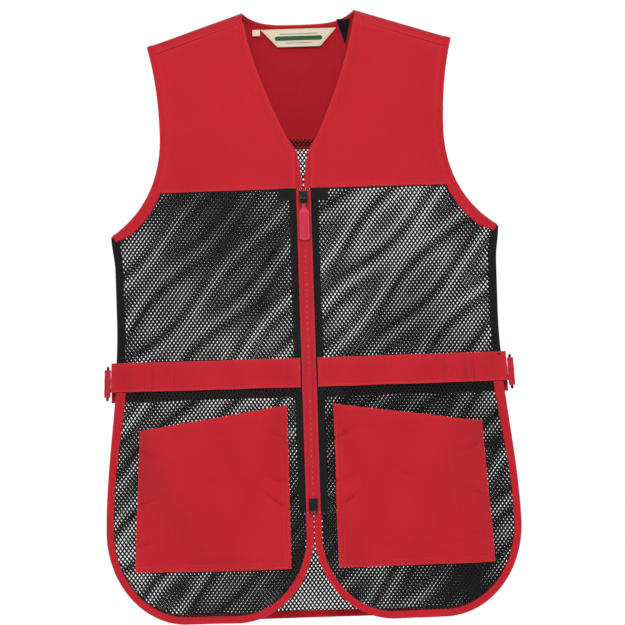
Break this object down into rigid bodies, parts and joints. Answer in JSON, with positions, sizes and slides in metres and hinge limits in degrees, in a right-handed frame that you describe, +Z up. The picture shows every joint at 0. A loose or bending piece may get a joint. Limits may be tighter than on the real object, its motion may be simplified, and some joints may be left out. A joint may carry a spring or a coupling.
{
  "type": "mesh-back field vest",
  "caption": "Sleeveless field vest with cloth yokes, mesh body, zipped front, patch pockets, bound edges and a waist belt with side buckles",
  "frame": {"origin": "middle of the back neck edge, where a hook or hanger holds the vest", "axes": "+Z up, -Y out of the front, +X towards the wearer's left side"},
  "size_m": [0.5218, 0.1223, 0.7646],
  "materials": {
    "red_cloth": "plain woven cotton blend, crimson, matt",
    "red_belt": "folded and stitched crimson cloth strap",
    "black_mesh": "open knitted polyester mesh, black",
    "black_tape": "black woven tape",
    "zip_tape": "fine ribbed red zip tape",
    "zip_coil": "black nylon coil",
    "black_metal": "black enamelled die casting",
    "soft_pull": "soft pinkish red moulded rubber",
    "black_plastic": "moulded black acetal, fine grain",
    "label_cream": "cream woven label",
    "label_green": "dark green woven thread"
  },
  "bodies": {
    "back": {"back_yoke": "red_cloth", "back_mesh_panel": "black_mesh", "back_neck_binding": "red_cloth", "back_hem_binding": "red_cloth", "back_belt": "red_belt", "label_patch": "label_cream", "label_stripe": "label_green", "back_armhole_binding_left": "red_cloth", "side_seam_tape_left": "black_tape", "side_buckle_left": "black_plastic", "back_belt_loop_left": "red_belt", "back_armhole_binding_right": "red_cloth", "side_seam_tape_right": "black_tape", "side_buckle_right": "black_plastic", "back_belt_loop_right": "red_belt"},
    "front_left": {"front_armhole_binding_left": "red_cloth", "front_yoke_left": "red_cloth", "neck_facing_left": "red_cloth", "front_mesh_panel_left": "black_mesh", "front_hem_binding_left": "red_cloth", "zip_tape_left": "zip_tape", "zip_coil_left": "zip_coil", "zip_top_tab_left": "black_tape", "placket_facing_left": "black_tape", "front_belt_left": "red_belt", "front_belt_loop_left": "red_belt", "pocket_patch_left": "red_cloth", "pocket_backing_left": "black_mesh"},
    "front_right": {"front_armhole_binding_right": "red_cloth", "front_yoke_right": "red_cloth", "neck_facing_right": "red_cloth", "front_mesh_panel_right": "black_mesh", "front_hem_binding_right": "red_cloth", "zip_tape_right": "zip_tape", "zip_coil_right": "zip_coil", "zip_top_tab_right": "black_tape", "placket_facing_right": "black_tape", "front_belt_right": "red_belt", "front_belt_loop_right": "red_belt", "pocket_patch_right": "red_cloth", "pocket_backing_right": "black_mesh"},
    "zip_slider": {"zip_slider": "black_metal"},
    "zip_link": {"zip_link": "black_metal"},
    "zip_pull": {"zip_pull": "soft_pull"},
    "lower_slider": {"lower_slider": "black_metal"},
    "lower_pull": {"lower_pull": "black_metal"},
    "size_tab": {"size_tab": "label_cream"}
  },
  "joints": [
    {"name": "front_left_swing", "type": "hinge", "parent": "back", "child": "front_left", "pos_m": [0.244, -0.03594, -0.26], "axis": [-0.0533, 0, 0.9986], "range_deg": [0, 35]},
    {"name": "front_right_swing", "type": "hinge", "parent": "back", "child": "front_right", "pos_m": [-0.244, -0.03594, -0.26], "axis": [-0.0533, 0, -0.9986], "range_deg": [0, 35]},
    {"name": "zip_slide", "type": "slide", "parent": "front_left", "child": "zip_slider", "axis": [0, 0, -1], "range_m": [0, 0.27]},
    {"name": "link_flip", "type": "hinge", "parent": "zip_slider", "child": "zip_link", "pos_m": [0, -0.09264, -0.2205], "axis": [-1, 0, 0], "range_deg": [0, 120]},
    {"name": "pull_flip", "type": "hinge", "parent": "zip_link", "child": "zip_pull", "pos_m": [0, -0.09264, -0.2295], "axis": [-1, 0, 0], "range_deg": [0, 60]},
    {"name": "lower_slide", "type": "slide", "parent": "front_left", "child": "lower_slider", "axis": [0, 0, 1], "range_m": [0, 0.09]},
    {"name": "lower_pull_flip", "type": "hinge", "parent": "lower_slider", "child": "lower_pull", "pos_m": [0, -0.09264, -0.6015], "axis": [-1, 0, 0], "range_deg": [0, 150]},
    {"name": "size_tab_flip", "type": "hinge", "parent": "back", "child": "size_tab", "pos_m": [-0.0533, -0.0094, -0.005], "axis": [-1, 0, 0], "range_deg": [0, 100]}
  ]
}
